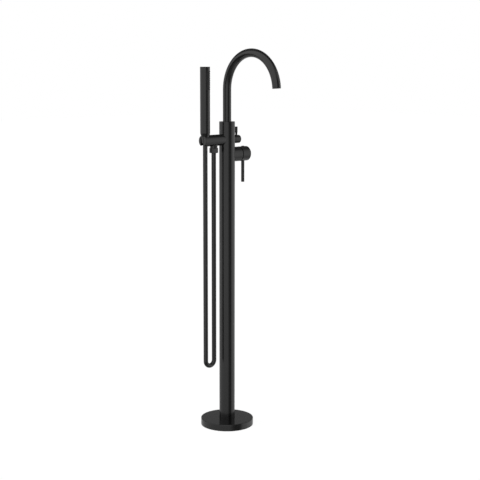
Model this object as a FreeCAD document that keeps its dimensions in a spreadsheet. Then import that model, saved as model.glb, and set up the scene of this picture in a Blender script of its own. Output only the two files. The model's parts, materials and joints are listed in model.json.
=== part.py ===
"""Floor standing bath filler: base, tall column, swan neck spout, side mixer, diverter and hand shower.

Millimetres, +Z up. The origin is the centre of the foot, on the column's axis, at floor level.
The spout points to -Y, the hand shower hangs on -X and the mixer and the diverter knob stand on +X.
"""
import FreeCAD, Part

import math
import os

import Sketcher

# name, size in millimetres or degrees, what it is
DIMENSIONS = [
    ("fit", 0.1, "difference in diameter between a piece and the seat that it is screwed or pushed into"),
    ("wall_play", 0.4, "how much wider a hole in the column's wall is than what passes through it"),
    ("small_edge", 0.4, "small chamfer on turned pieces"),
    ("column_dia", 48.0, "column, outside"),
    ("column_bore", 44.0, "column, inside"),
    ("column_top", 948.2, "height of the column's closed top"),
    ("column_lid", 4.0, "thickness of the closed top"),
    ("column_edge", 0.6, "chamfer on the column's top edge"),
    ("plate_dia", 132.0, "mounting plate"),
    ("plate_thick", 8.0, "mounting plate, and the height at which the column starts"),
    ("plate_mouth", 38.0, "opening for the supply pipes in the plate and its spigot"),
    ("spigot_top", 48.0, "height of the spigot that holds the column's foot"),
    ("spigot_play", 0.15, "gap between the spigot and the column's bore"),
    ("plate_edge", 0.8, "chamfer on the plate's rim"),
    ("bolt_circle", 104.0, "circle of the four floor bolts"),
    ("bolt_hole", 9.0, "holes for M8 floor bolts"),
    ("base_dia", 163.2, "cover over the plate"),
    ("base_tall", 20.4, "height of the cover"),
    ("base_skin", 3.0, "wall of the cover"),
    ("base_edge", 1.2, "rounding on the cover's upper rim"),
    ("collar_dia", 62.0, "cover's inner collar round the column"),
    ("collar_low", 10.0, "underside of that collar"),
    ("slide_gap", 0.25, "gap between the cover's collar and the column"),
    ("seal_low", 12.4, "groove of the seal in the collar"),
    ("seal_tall", 3.0, "height of that groove"),
    ("seal_deep", 1.7, "depth of that groove"),
    ("screw_dia", 5.5, "set screws that hold the column on the spigot"),
    ("screw_long", 4.0, "their length"),
    ("screw_sunk", 0.4, "how far they stay under the column's surface"),
    ("screw_height", 15.0, "their height, inside the cover"),
    ("pipe_dia", 12.0, "hot and cold riser pipes"),
    ("pipe_bore", 10.0, "their bore"),
    ("pipe_offset", 9.6, "each riser's distance from the column's axis"),
    ("inlet_low", 3.0, "underside of the inlet sockets"),
    ("inlet_top", 34.0, "top of the inlet sockets"),
    ("inlet_dia", 18.4, "inlet sockets, outside"),
    ("inlet_thread", 15.0, "core of the G 3/8 inlet thread"),
    ("inlet_depth", 14.0, "length of that thread"),
    ("inlet_socket", 10.0, "socket of the riser in the inlet's top"),
    ("spacer_thick", 6.0, "discs that keep the risers apart"),
    ("spacer_pitch", 240.0, "distance between those discs"),
    ("valve_low", 812.0, "underside of the brass valve body"),
    ("valve_top", 915.0, "top of the valve body"),
    ("valve_dia", 43.2, "valve body, inside the column"),
    ("socket_deep", 12.0, "sockets of the risers"),
    ("passage", 8.0, "waterways from the risers to the mixer"),
    ("spout_way", 15.0, "waterway up to the spout"),
    ("mixer_height", 847.8, "height of the mixer's axis"),
    ("mixer_dia", 44.5, "mixer sleeve and handle cap"),
    ("sleeve_end", 46.8, "end of the sleeve, from the column's axis"),
    ("sleeve_bore", 38.0, "sleeve, inside"),
    ("sleeve_edge", 0.8, "chamfer on the sleeve's end"),
    ("saddle_gap", 0.05, "seam between the column and what is fitted to it"),
    ("cup_dia", 37.8, "cup of the valve body that holds the cartridge"),
    ("cup_end", 36.0, "end of that cup"),
    ("cup_bore", 35.2, "bore of that cup"),
    ("cup_floor", 6.0, "floor of the cup, from the column's axis"),
    ("cartridge_dia", 34.8, "ceramic cartridge"),
    ("cartridge_neck", 32.0, "its narrower end, under the ring nut"),
    ("shoulder_x", 29.0, "shoulder on which the ring nut presses, from the column's axis"),
    ("cartridge_end", 32.0, "end of the cartridge"),
    ("ring_end", 39.4, "end of the ring nut"),
    ("ring_bore", 25.2, "ring nut, inside"),
    ("turret_start", 23.8, "inner end of the turret"),
    ("turret_end", 36.0, "outer end of the turret"),
    ("turret_dia", 22.0, "recess of the cartridge for its turret"),
    ("turret_play", 0.06, "running gap round the turret"),
    ("pivot_x", 32.8, "pivot of the handle's tilt, from the column's axis"),
    ("dome_outer", 20.2, "radius of the domed bonnet about the pivot"),
    ("dome_skin", 1.2, "bonnet's wall"),
    ("dome_mouth", 24.0, "opening of the bonnet for the stem"),
    ("stem_wide", 8.4, "cartridge stem across"),
    ("stem_tall", 7.0, "cartridge stem, the other way"),
    ("stem_tail", 4.8, "stem behind the pivot"),
    ("stem_end", 66.0, "end of the stem, from the column's axis"),
    ("pin_dia", 3.0, "pin through the turret and the stem"),
    ("pin_long", 20.8, "length of that pin"),
    ("rod_edge", 0.6, "chamfer on the ends of stem and spindle"),
    ("cap_start", 48.8, "rim of the handle cap, from the column's axis"),
    ("cap_end", 79.5, "end face of the handle cap"),
    ("cap_rim_bore", 42.4, "cap, inside at the rim"),
    ("cap_bore", 40.4, "cap, inside at its floor"),
    ("cap_floor", 55.0, "floor of the cap's hollow"),
    ("cap_edge", 2.0, "rounding on the cap's end"),
    ("lever_x", 63.9, "handle lever's axis, from the column's axis"),
    ("lever_dia", 10.1, "handle lever"),
    ("lever_reach", 65.0, "lever below the cap"),
    ("lever_root", 9.0, "where the lever's hole ends, from the mixer's axis"),
    ("lever_edge", 0.8, "chamfer on the lever's end"),
    ("grub_dia", 4.8, "set screw of the handle"),
    ("grub_top", 14.0, "top of that screw, from the mixer's axis"),
    ("index_dia", 10.0, "hot and cold index"),
    ("index_proud", 1.4, "index above the cap"),
    ("index_seat", 17.5, "seat of the index, from the mixer's axis"),
    ("arm_height", 893.6, "height of the cross arm's axis and the diverter's"),
    ("arm_dia", 34.0, "cross arm"),
    ("arm_end", 97.5, "end face of the arm, from the column's axis"),
    ("arm_edge", 1.0, "rounding on the arm's end"),
    ("shank_dia", 27.8, "arm's shank inside the column"),
    ("shank_long", 8.0, "length of that shank"),
    ("waterway", 11.0, "water bore in the arm"),
    ("slot_wide", 17.5, "slot that lets the hose into the holder"),
    ("liner_skin", 1.2, "plastic liner of the holder"),
    ("seat_play", 0.35, "gap between the liner and the conical nut"),
    ("knob_dia", 24.8, "diverter knob"),
    ("knob_start", 27.5, "its inner face, from the column's axis"),
    ("knob_end", 47.5, "its end face"),
    ("knob_edge", 1.5, "rounding on the knob's end"),
    ("boss_end", 27.0, "end of the column's boss behind the knob"),
    ("spindle_dia", 7.86, "diverter spindle"),
    ("spindle_bore", 8.0, "its bearing bore"),
    ("spindle_start", 8.3, "inner end of the spindle, from the column's axis"),
    ("spindle_end", 43.0, "outer end of the spindle"),
    ("diverter_dia", 17.8, "diverter cartridge"),
    ("diverter_back", 9.0, "its inner end, beyond the column's axis"),
    ("diverter_end", 26.6, "its outer end"),
    ("toggle_x", 37.25, "diverter lever's axis, from the column's axis"),
    ("toggle_dia", 8.1, "diverter lever, upper part"),
    ("toggle_neck", 6.5, "diverter lever, neck"),
    ("toggle_thread", 5.0, "its thread"),
    ("toggle_foot", 5.2, "lower end of that thread, above the arm's axis"),
    ("toggle_seat", 11.5, "where the neck stands in the knob"),
    ("toggle_waist", 17.0, "where the neck starts to widen"),
    ("toggle_full", 21.5, "where the lever has its full diameter"),
    ("toggle_top", 37.7, "top of that lever above the arm's axis"),
    ("outlet_x", 53.2, "hose outlet, from the column's axis"),
    ("outlet_collar", 22.7, "outlet collar under the arm"),
    ("outlet_bore", 13.0, "outlet, inside"),
    ("check_bore", 5.0, "waterway of its check valve"),
    ("check_tall", 13.5, "height of that check valve"),
    ("outlet_seat", 884.0, "flat bottom of the outlet's seat in the arm"),
    ("nut_flats", 24.6, "hose nut across its flats"),
    ("nut_low", 856.0, "underside of the hose nut"),
    ("nut_top", 870.8, "top of the hose nut"),
    ("nut_turn", 59.1, "angle at which the nut was tightened"),
    ("thread_dia", 20.4, "G 1/2 nipples"),
    ("flange_tall", 2.1, "flange of a hose end"),
    ("flange_bore", 9.0, "its bore"),
    ("washer_tall", 2.0, "washer of a hose end"),
    ("washer_bore", 10.0, "its bore"),
    ("hose_dia", 14.0, "shower hose"),
    ("hose_start", 858.9, "hose's end in the outlet nut"),
    ("hose_end", 895.5, "hose's end in the conical nut"),
    ("hose_play", 0.35, "gap between the conical nut and the hose"),
    ("hose_shoulder", 0.5, "inner shoulder of the conical nut above the hose's end"),
    ("handset_x", 86.3, "hand shower's axis, from the column's axis"),
    ("handset_dia", 29.7, "hand shower"),
    ("handset_bore", 24.0, "hand shower, inside"),
    ("handset_low", 906.8, "lower end of the hand shower's taper"),
    ("handset_neck", 24.8, "hand shower at that end"),
    ("handset_full", 916.6, "where the taper reaches the full diameter"),
    ("handset_top", 1112.4, "top of the hand shower"),
    ("handset_lid", 2.6, "thickness of its end cap"),
    ("handset_plug", 6.0, "part of the cap inside the tube"),
    ("handset_nipple", 10.0, "water bore of its nipple"),
    ("handset_funnel", 7.0, "height over which that bore widens to the tube's"),
    ("handset_turn", 2.0, "how far the hand shower hangs turned"),
    ("cone_low", 887.0, "underside of the conical nut"),
    ("cone_low_dia", 20.8, "conical nut at its underside"),
    ("cone_top_dia", 24.4, "conical nut at its top"),
    ("spray_low", 1044.4, "lower end of the spray face"),
    ("spray_tall", 55.7, "height of the spray face"),
    ("spray_wide", 14.2, "width of the spray face"),
    ("spray_radius", 14.6, "radius of the spray face, just under the hand shower's"),
    ("spray_back", 11.5, "back of the spray face, from the hand shower's axis"),
    ("spray_play", 0.08, "gap round the spray face in its window"),
    ("nozzle_root", 2.3, "nozzle at its root"),
    ("nozzle_tip", 1.6, "nozzle at its tip"),
    ("nozzle_rows", 9.0, "rows of nozzles in an outer column"),
    ("nozzle_pitch", 6.5, "distance between rows"),
    ("nozzle_angle", 23.5, "angle between the columns of nozzles"),
    ("nozzle_reach", 16.8, "nozzle tips, from the hand shower's axis"),
    ("spout_dia", 25.3, "spout tube"),
    ("spout_bore", 22.3, "spout tube, inside"),
    ("spout_foot", 923.0, "lower end of the spout's leg, inside the column"),
    ("spout_spring", 1044.6, "height at which the swan neck starts to bend"),
    ("spout_radius", 108.7, "radius of the swan neck's centreline"),
    ("spout_bend", 175.0, "angle through which the neck bends"),
    ("spout_play", 0.06, "running gap round the spout's leg"),
    ("bush_dia", 28.4, "spout's upper bush, outside"),
    ("bush_low", 932.0, "underside of that bush"),
    ("lid_mouth", 26.2, "hole in the column's top for the spout"),
    ("ring_low", 930.6, "retaining ring on the spout's leg"),
    ("ring_thick", 1.0, "thickness of that ring"),
    ("ring_deep", 0.75, "depth of its groove"),
    ("ring_gap", 6.0, "its opening"),
    ("seal_groove", 1.9, "height of the grooves for the leg's seals"),
    ("seal_groove_deep", 1.0, "depth of those grooves"),
    ("lower_seal", 924.0, "underside of the lower seal's groove"),
    ("upper_seal", 927.2, "underside of the upper seal's groove"),
    ("aerator_tall", 2.4, "aerator ring at the spout's end"),
    ("aerator_skin", 1.4, "wall of the aerator's sleeve"),
    ("aerator_deep", 5.0, "aerator's sleeve inside the spout"),
    ("aerator_back", 1.2, "how far the insert is set back from the rim"),
    ("aerator_pitch", 3.0, "distance between the insert's slots"),
    ("aerator_slot", 1.2, "width of those slots"),
    ("groove_thin", 0.3, "joint line between the spout and the aerator ring"),
]

# x and z of the corners of the hose's loop, between its straight run down and its straight run up
HOSE_LOOP = [(-53.2, 209.7), (-62.9, 200.0), (-76.6, 200.0), (-86.3, 209.7)]
BEND_SHARE = 0.45  # share of a run that the bend at its end takes

doc = FreeCAD.newDocument("BathFiller")
sheet = doc.addObject("Spreadsheet::Sheet", "Dims")
SUBPARTS = {}  # label: object, in the order in which they are made


class Size:
    """A length or an angle worked out from the sheet: its number, and the expression that a property gets."""

    def __init__(self, value, text):
        self.value = value
        self.text = text

    def __add__(self, other):
        other = size(other)
        return Size(self.value + other.value, f"({self.text} + {other.text})")

    def __sub__(self, other):
        other = size(other)
        return Size(self.value - other.value, f"({self.text} - {other.text})")

    def __mul__(self, other):
        other = size(other)
        return Size(self.value * other.value, f"({self.text} * {other.text})")

    def __truediv__(self, other):
        other = size(other)
        return Size(self.value / other.value, f"({self.text} / {other.text})")

    def __neg__(self):
        return Size(-self.value, f"(0 - {self.text})")

    __radd__ = __add__
    __rmul__ = __mul__


class Guess(float):
    """A coordinate that an arc settles: only the place where the solver starts."""


def size(value):
    return value if isinstance(value, Size) else Size(float(value), f"{float(value):g}")


def fill_sheet():
    """Writes the driving dimensions into the sheet, one alias each."""
    for row, (alias, value, note) in enumerate(DIMENSIONS, start=1):
        sheet.set(f"A{row}", note)
        sheet.set(f"B{row}", f"{value:g}")
        sheet.setAlias(f"B{row}", alias)
    doc.recompute()


fill_sheet()


class Dims:
    """Reads a size from the sheet by its alias."""

    def __getattr__(self, alias):
        return Size(float(getattr(sheet, alias)), f"Dims.{alias}")


d = Dims()


def bind(thing, name, value):
    """Keeps a property of an object on a size from the sheet."""
    value = size(value)
    thing.setExpression(name, value.text)


def place(thing, x=0, y=0, z=0, turn=None):
    """Puts an object at a point, turned about its vertical axis."""
    x, y, z = size(x), size(y), size(z)
    angle = size(turn or 0)
    rotation = FreeCAD.Rotation(FreeCAD.Vector(0, 0, 1), angle.value)
    thing.Placement = FreeCAD.Placement(FreeCAD.Vector(x.value, y.value, z.value), rotation)
    for name, value in (("x", x), ("y", y), ("z", z)):
        bind(thing, f"Placement.Base.{name}", value)
    if turn is not None:
        bind(thing, "Placement.Rotation.Angle", angle)


def keep(label, thing):
    """Makes an object a sub-part under its own label."""
    thing.Label = label
    SUBPARTS[label] = thing
    return thing


def body(label, x=0, y=0, z=0, turn=None):
    """A new body at a point. It becomes the sub-part of that label."""
    made = doc.addObject("PartDesign::Body", f"Body_{label}")
    place(made, x, y, z, turn)
    return keep(label, made)


def plane(owner, role):
    """One of a body's own origin planes."""
    return next(f for f in owner.Origin.OriginFeatures if f.Role == role)


def sketch(owner, role, offset=0):
    """An empty sketch on a body's origin plane, or on a plane parallel to it."""
    made = owner.newObject("Sketcher::SketchObject", "Sketch")
    made.AttachmentSupport = [(plane(owner, role), "")]
    made.MapMode = "FlatFace"
    offset = size(offset)
    made.AttachmentOffset = FreeCAD.Placement(FreeCAD.Vector(0, 0, offset.value), FreeCAD.Rotation())
    bind(made, "AttachmentOffset.Base.z", offset)
    return made


def hold(drawing, kind, *points, value):
    """Adds a dimension to a sketch and keeps it on the sheet."""
    index = drawing.addConstraint(Sketcher.Constraint(kind, *points, value.value))
    bind(drawing, f"Constraints[{index}]", value)


def draw_circle(drawing, x, y, diameter):
    """A dimensioned circle."""
    x, y, diameter = size(x), size(y), size(diameter)
    circle = Part.Circle(FreeCAD.Vector(x.value, y.value, 0), FreeCAD.Vector(0, 0, 1), diameter.value / 2)
    edge = drawing.addGeometry(circle, False)
    hold(drawing, "DistanceX", -1, 1, edge, 3, value=x)
    hold(drawing, "DistanceY", -1, 1, edge, 3, value=y)
    hold(drawing, "Diameter", edge, value=diameter)


def draw(drawing, corners, arcs=None):
    """A dimensioned closed outline.

    A corner is a pair of sizes, where a Guess is left to the arc beside it. arcs holds, for an edge that
    starts at the corner of that number, its centre's x and y, its radius and whether it runs anticlockwise.
    """
    arcs = arcs or {}
    number = len(corners)
    first = drawing.GeometryCount
    numbers = [tuple(c if isinstance(c, Guess) else size(c).value for c in pair) for pair in corners]
    ends = []  # for each edge, which of its two ends is at its first corner
    for i in range(number):
        start, end = numbers[i], numbers[(i + 1) % number]
        if i not in arcs:
            line = Part.LineSegment(FreeCAD.Vector(*start, 0), FreeCAD.Vector(*end, 0))
            drawing.addGeometry(line, False)
            ends.append((1, 2))
            continue
        centre_x, centre_y, radius, anticlockwise = arcs[i]
        centre_x, centre_y, radius = size(centre_x), size(centre_y), size(radius)
        circle = Part.Circle(
            FreeCAD.Vector(centre_x.value, centre_y.value, 0), FreeCAD.Vector(0, 0, 1), radius.value
        )
        from_corner, to_corner = (start, end) if anticlockwise else (end, start)
        angles = [math.atan2(p[1] - centre_y.value, p[0] - centre_x.value) for p in (from_corner, to_corner)]
        edge = drawing.addGeometry(Part.ArcOfCircle(circle, *angles), False)
        hold(drawing, "DistanceX", -1, 1, edge, 3, value=centre_x)
        hold(drawing, "DistanceY", -1, 1, edge, 3, value=centre_y)
        hold(drawing, "Radius", edge, value=radius)
        ends.append((1, 2) if anticlockwise else (2, 1))
    for i in range(number):
        after = (i + 1) % number
        drawing.addConstraint(
            Sketcher.Constraint("Coincident", first + i, ends[i][1], first + after, ends[after][0])
        )
    for i, (x, y) in enumerate(corners):
        if not isinstance(x, Guess):
            hold(drawing, "DistanceX", -1, 1, first + i, ends[i][0], value=size(x))
        if not isinstance(y, Guess):
            hold(drawing, "DistanceY", -1, 1, first + i, ends[i][0], value=size(y))


def box_corners(x_low, y_low, x_high, y_high):
    return [(x_low, y_low), (x_high, y_low), (x_high, y_high), (x_low, y_high)]


def added(owner, feature):
    """Settles a feature that adds or shapes material."""
    doc.recompute()
    if owner.Shape.isNull() or "Invalid" in feature.State:
        raise RuntimeError(f"{owner.Label}: {feature.Name} failed")
    return feature


def removed(owner, feature, before):
    """Settles a feature that cuts, and checks that it took material away."""
    doc.recompute()
    if "Invalid" in feature.State or owner.Shape.Volume > before - 0.01:
        raise RuntimeError(f"{owner.Label}: {feature.Name} cut nothing")
    return feature


def revolve(owner, axis, corners, arcs=None):
    """Turns an outline in the body's XZ plane about its vertical axis, V, or its X axis, H."""
    profile = sketch(owner, "XZ_Plane")
    draw(profile, corners, arcs)
    feature = owner.newObject("PartDesign::Revolution", "Revolution")
    feature.Profile = profile
    feature.ReferenceAxis = (profile, [f"{axis}_Axis"])
    feature.Angle = 360
    return added(owner, feature)


def groove(owner, axis, corners):
    """Cuts with an outline turned in the body's XZ plane."""
    before = owner.Shape.Volume
    profile = sketch(owner, "XZ_Plane")
    draw(profile, corners)
    feature = owner.newObject("PartDesign::Groove", "Groove")
    feature.Profile = profile
    feature.ReferenceAxis = (profile, [f"{axis}_Axis"])
    feature.Angle = 360
    return removed(owner, feature, before)


def pad(owner, profile, length):
    """Raises a sketch along its own normal."""
    feature = owner.newObject("PartDesign::Pad", "Pad")
    feature.Profile = profile
    bind(feature, "Length", length)
    return added(owner, feature)


def pocket(owner, profile, length=None, forward=True):
    """Cuts a sketch along its normal, against it, or through all both ways when no length is given."""
    before = owner.Shape.Volume
    feature = owner.newObject("PartDesign::Pocket", "Pocket")
    feature.Profile = profile
    if length is None:
        feature.SideType = "Symmetric"
        feature.Type = "ThroughAll"
    else:
        feature.Reversed = forward
        bind(feature, "Length", length)
    return removed(owner, feature, before)


def drill(owner, role, x, y, diameter, start=0, length=None, forward=True):
    """A round hole across one of the body's planes. It starts at a plane parallel to it."""
    profile = sketch(owner, role, start)
    draw_circle(profile, x, y, diameter)
    return pocket(owner, profile, length, forward)


def edges(shape, test):
    """Names of the edges whose box passes a test."""
    return [f"Edge{i}" for i, edge in enumerate(shape.Edges, start=1) if test(edge.BoundBox)]


def soften(owner, kind, amount, test):
    """A fillet or chamfer on the edges that pass a test."""
    base = owner.Tip
    names = edges(base.Shape, test)
    feature = owner.newObject(f"PartDesign::{kind}", kind)
    feature.Base = (base, names)
    bind(feature, "Radius" if kind == "Fillet" else "Size", amount)
    return added(owner, feature)


def repeat(owner, feature, count, angle=360):
    """Repeats a feature round the body's vertical axis."""
    pattern = owner.newObject("PartDesign::PolarPattern", "PolarPattern")
    pattern.Originals = [feature]
    pattern.Axis = (plane(owner, "Z_Axis"), [""])
    pattern.Angle = angle
    pattern.Occurrences = count
    owner.Tip = pattern
    return added(owner, pattern)


def flat_at(axis, value, slack=0.02):
    """A test for edges that lie in one plane across an axis."""
    low, high = f"{axis.upper()}Min", f"{axis.upper()}Max"
    return lambda box: all(abs(getattr(box, end) - value.value) < slack for end in (low, high))


def rim_at(axis, value, diameter, slack=0.02):
    """A test for the round edge of this diameter in one plane across an axis."""
    flat = flat_at(axis, value, slack)
    return lambda box: flat(box) and abs(box.YLength - diameter.value) < slack


def ring(label, inner, outer, low, high, **where):
    """A plain ring about the vertical axis."""
    made = body(label, **where)
    revolve(made, "V", box_corners(inner / 2, low, outer / 2, high))
    return made


# ---------------------------------------------------------------- foot


def floor_plate():
    """Steel plate that is bolted to the floor, with the spigot that holds the column upright."""
    plate = body("floor_plate")
    spigot = d.column_bore / 2 - d.spigot_play
    mouth = d.plate_mouth / 2
    corners = [
        (mouth, 0),
        (d.plate_dia / 2, 0),
        (d.plate_dia / 2, d.plate_thick),
        (spigot, d.plate_thick),
        (spigot, d.spigot_top),
        (mouth, d.spigot_top),
    ]
    revolve(plate, "V", corners)
    soften(plate, "Chamfer", d.plate_edge, rim_at("z", d.plate_thick, d.plate_dia))
    hole = drill(plate, "XY_Plane", d.bolt_circle / 2, 0, d.bolt_hole)
    repeat(plate, hole, 4)
    thread = drill(plate, "YZ_Plane", 0, d.screw_height, d.screw_dia + d.fit, 0, d.column_dia)
    repeat(plate, thread, 3)


def base_cover():
    """Round cover over the plate, with a collar that slides on the column."""
    cover = body("base_cover")
    hole = d.column_dia / 2 + d.slide_gap
    corners = [
        (d.base_dia / 2, 0),
        (d.base_dia / 2, d.base_tall),
        (hole, d.base_tall),
        (hole, d.seal_low + d.seal_tall),
        (hole + d.seal_deep, d.seal_low + d.seal_tall),
        (hole + d.seal_deep, d.seal_low),
        (hole, d.seal_low),
        (hole, d.collar_low),
        (d.collar_dia / 2, d.collar_low),
        (d.collar_dia / 2, d.base_tall - d.base_skin),
        (d.base_dia / 2 - d.base_skin, d.base_tall - d.base_skin),
        (d.base_dia / 2 - d.base_skin, 0),
    ]
    revolve(cover, "V", corners)
    soften(cover, "Fillet", d.base_edge, rim_at("z", d.base_tall, d.base_dia))


def base_seal():
    """Rubber ring in the collar that wipes the column."""
    seal = body("base_seal")
    inner = d.column_dia / 2 + d.fit / 2
    outer = d.column_dia / 2 + d.slide_gap + d.seal_deep - d.fit
    low, high = d.seal_low + d.fit, d.seal_low + d.seal_tall - d.fit
    bevel = 0.6
    corners = [
        (inner, low + bevel),
        (inner + bevel, low),
        (outer, low),
        (outer, high),
        (inner + bevel, high),
        (inner, high - bevel),
    ]
    revolve(seal, "V", corners)


def column_set_screws():
    """Three set screws that lock the column on the spigot, under the cover."""
    screws = body("column_set_screws")
    profile = sketch(screws, "YZ_Plane", d.column_dia / 2 - d.screw_sunk - d.screw_long)
    draw_circle(profile, 0, d.screw_height, d.screw_dia)
    first = pad(screws, profile, d.screw_long)
    screws.AllowCompound = True
    repeat(screws, first, 3)


def column_tube():
    """The column: a tube with a closed top, its openings and the boss behind the diverter knob."""
    tube = body("column_tube")
    revolve(tube, "V", box_corners(0, d.plate_thick, d.column_dia / 2, d.column_top))
    boss = sketch(tube, "YZ_Plane")
    draw_circle(boss, 0, d.arm_height, d.knob_dia)
    pad(tube, boss, d.boss_end)
    soften(tube, "Chamfer", d.small_edge, flat_at("x", d.boss_end))
    soften(tube, "Chamfer", d.column_edge, flat_at("z", d.column_top))
    inside = [
        (0, d.plate_thick),
        (d.column_bore / 2, d.plate_thick),
        (d.column_bore / 2, d.column_top - d.column_lid),
        (0, d.column_top - d.column_lid),
    ]
    groove(tube, "V", inside)
    drill(tube, "XY_Plane", 0, 0, d.lid_mouth, d.column_top, d.column_lid * 2, forward=False)
    drill(tube, "YZ_Plane", 0, d.mixer_height, d.cup_dia + d.wall_play, 0, d.column_dia)
    drill(tube, "YZ_Plane", 0, d.arm_height, d.shank_dia + d.wall_play, 0, d.column_dia, forward=False)
    drill(tube, "YZ_Plane", 0, d.arm_height, d.diverter_dia + d.wall_play, 0, d.column_dia)
    screw = drill(tube, "YZ_Plane", 0, d.screw_height, d.screw_dia + d.fit * 2, 0, d.column_dia)
    repeat(tube, screw, 3)


# ---------------------------------------------------------------- supply inside the column


def inlet(label, side):
    """Socket with the inlet thread, where a supply hose is screwed in from below."""
    socket = body(label, y=d.pipe_offset * side)
    thread, outer, bore = d.inlet_thread / 2, d.inlet_dia / 2, d.pipe_bore / 2
    pipe = d.pipe_dia / 2 + d.fit / 2
    seat = d.inlet_top - d.inlet_socket
    thread_end = d.inlet_low + d.inlet_depth + 1
    lead, neck_in, neck_tall = 0.6, 1.5, 4
    corners = [
        (thread + lead, d.inlet_low),
        (outer, d.inlet_low),
        (outer, d.inlet_top - neck_tall),
        (outer - neck_in, d.inlet_top),
        (pipe, d.inlet_top),
        (pipe, seat),
        (bore, seat),
        (bore, thread_end),
        (thread, thread_end),
        (thread, d.inlet_low + lead),
    ]
    revolve(socket, "V", corners)


def riser(label, side):
    """Copper pipe from an inlet up to the valve body."""
    low = d.inlet_top - d.inlet_socket + d.fit
    high = d.valve_low + d.socket_deep - d.fit
    ring(label, d.pipe_bore, d.pipe_dia, low, high, y=d.pipe_offset * side)


def pipe_spacer(label, step):
    """Plastic disc that keeps the risers apart and off the column's wall."""
    low = (d.inlet_top + d.valve_low - d.spacer_pitch) / 2 + d.spacer_pitch * step
    spacer = body(label)
    profile = sketch(spacer, "XY_Plane", low)
    draw_circle(profile, 0, 0, d.column_bore - d.wall_play)
    for side in (-1, 1):
        draw_circle(profile, 0, d.pipe_offset * side, d.pipe_dia + d.fit * 2)
    pad(spacer, profile, d.spacer_thick)


def valve_body():
    """Brass casting inside the column: riser sockets, the mixer's cup, the diverter's bore and the way up."""
    valve = body("valve_body")
    revolve(valve, "V", box_corners(0, d.valve_low, d.valve_dia / 2, d.valve_top))
    cup = sketch(valve, "YZ_Plane")
    draw_circle(cup, 0, d.mixer_height, d.cup_dia)
    pad(valve, cup, d.cup_end)
    drill(valve, "YZ_Plane", 0, d.mixer_height, d.cup_bore, d.cup_floor, d.cup_end)
    back = -d.diverter_back
    drill(valve, "YZ_Plane", 0, d.arm_height, d.diverter_dia + d.fit, back - 1, d.column_dia)
    drill(valve, "YZ_Plane", 0, d.arm_height, d.waterway, back, d.valve_dia / 2, forward=False)
    for side in (-1, 1):
        y = d.pipe_offset * side
        drill(valve, "XY_Plane", 0, y, d.pipe_dia + d.fit, d.valve_low, d.socket_deep)
        drill(valve, "XY_Plane", 0, y, d.passage, d.valve_low, d.mixer_height - d.valve_low)
    drill(valve, "XY_Plane", 0, 0, d.spout_way, d.valve_top, d.valve_top - d.arm_height, forward=False)
    drill(valve, "XY_Plane", 0, 0, d.pipe_bore, d.mixer_height, d.arm_height - d.mixer_height)


# ---------------------------------------------------------------- mixer


def saddle(owner, x=0):
    """Trims what is fitted to the column to the column's round."""
    return drill(owner, "XY_Plane", x, 0, d.column_dia + d.saddle_gap * 2)


def mixer_sleeve():
    """Round casing of the mixer, fitted to the column."""
    sleeve = body("mixer_sleeve", z=d.mixer_height)
    revolve(sleeve, "H", box_corners(0, d.sleeve_bore / 2, d.sleeve_end, d.mixer_dia / 2))
    soften(sleeve, "Chamfer", d.sleeve_edge, rim_at("x", d.sleeve_end, d.mixer_dia))
    saddle(sleeve)


def mixer_cartridge():
    """Ceramic cartridge in its cup, with the recess that its turret turns in."""
    cartridge = body("mixer_cartridge", z=d.mixer_height)
    outer, neck, recess = d.cartridge_dia / 2, d.cartridge_neck / 2, d.turret_dia / 2
    low, floor = d.cup_floor + d.fit, d.turret_start - d.fit * 2
    corners = [
        (low, 0),
        (low, outer),
        (d.shoulder_x, outer),
        (d.shoulder_x, neck),
        (d.cartridge_end, neck),
        (d.cartridge_end, recess),
        (floor, recess),
        (floor, 0),
    ]
    revolve(cartridge, "H", corners)


def cartridge_nut():
    """Ring nut that holds the cartridge down, with two notches for its key."""
    nut = body("cartridge_nut", z=d.mixer_height)
    outer, neck, bore = d.cup_bore / 2 - d.fit * 2, d.cartridge_neck / 2 + d.fit, d.ring_bore / 2
    foot, step = d.shoulder_x + d.fit, d.cartridge_end + d.fit
    corners = [
        (foot, neck),
        (foot, outer),
        (d.ring_end, outer),
        (d.ring_end, bore),
        (step, bore),
        (step, neck),
    ]
    revolve(nut, "H", corners)
    half_wide, deep = 2.5, 2
    notch = sketch(nut, "YZ_Plane", d.ring_end - deep)
    draw(notch, box_corners(-half_wide, -d.cup_bore, half_wide, d.cup_bore))
    pocket(nut, notch, deep)


def mixer_bonnet():
    """Domed cover over the cartridge nut. Its dome is centred on the handle's pivot."""
    bonnet = body("mixer_bonnet", z=d.mixer_height)
    outer, inner = d.dome_outer, d.dome_outer - d.dome_skin
    skirt_out, skirt_in = d.sleeve_bore / 2 - d.fit, d.cup_bore / 2
    foot = d.cup_end + d.fit
    mouth = d.dome_mouth / 2

    def dome_x(radius, height):
        return Guess(d.pivot_x.value + math.sqrt(radius.value**2 - height.value**2))

    corners = [
        (foot, skirt_in),
        (foot, skirt_out),
        (dome_x(outer, skirt_out), skirt_out),
        (dome_x(outer, mouth), mouth),
        (dome_x(inner, mouth), mouth),
        (dome_x(inner, skirt_in), skirt_in),
    ]
    arcs = {2: (d.pivot_x, 0, outer, False), 4: (d.pivot_x, 0, inner, True)}
    revolve(bonnet, "H", corners, arcs)


def cartridge_turret():
    """Turret that turns in the cartridge for the temperature and carries the stem's pin."""
    turret = body("cartridge_turret", z=d.mixer_height)
    revolve(turret, "H", box_corners(d.turret_start, 0, d.turret_end, d.turret_dia / 2 - d.turret_play))
    slot = sketch(turret, "XY_Plane")
    half = d.stem_wide / 2 + d.turret_play
    swing = d.stem_tail + 1.6  # room for the corners of the stem's tail
    draw(slot, box_corners(d.pivot_x - swing, -half, d.turret_end + 1, half))
    pocket(turret, slot)
    drill(turret, "XZ_Plane", d.pivot_x, 0, d.pin_dia)


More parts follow.
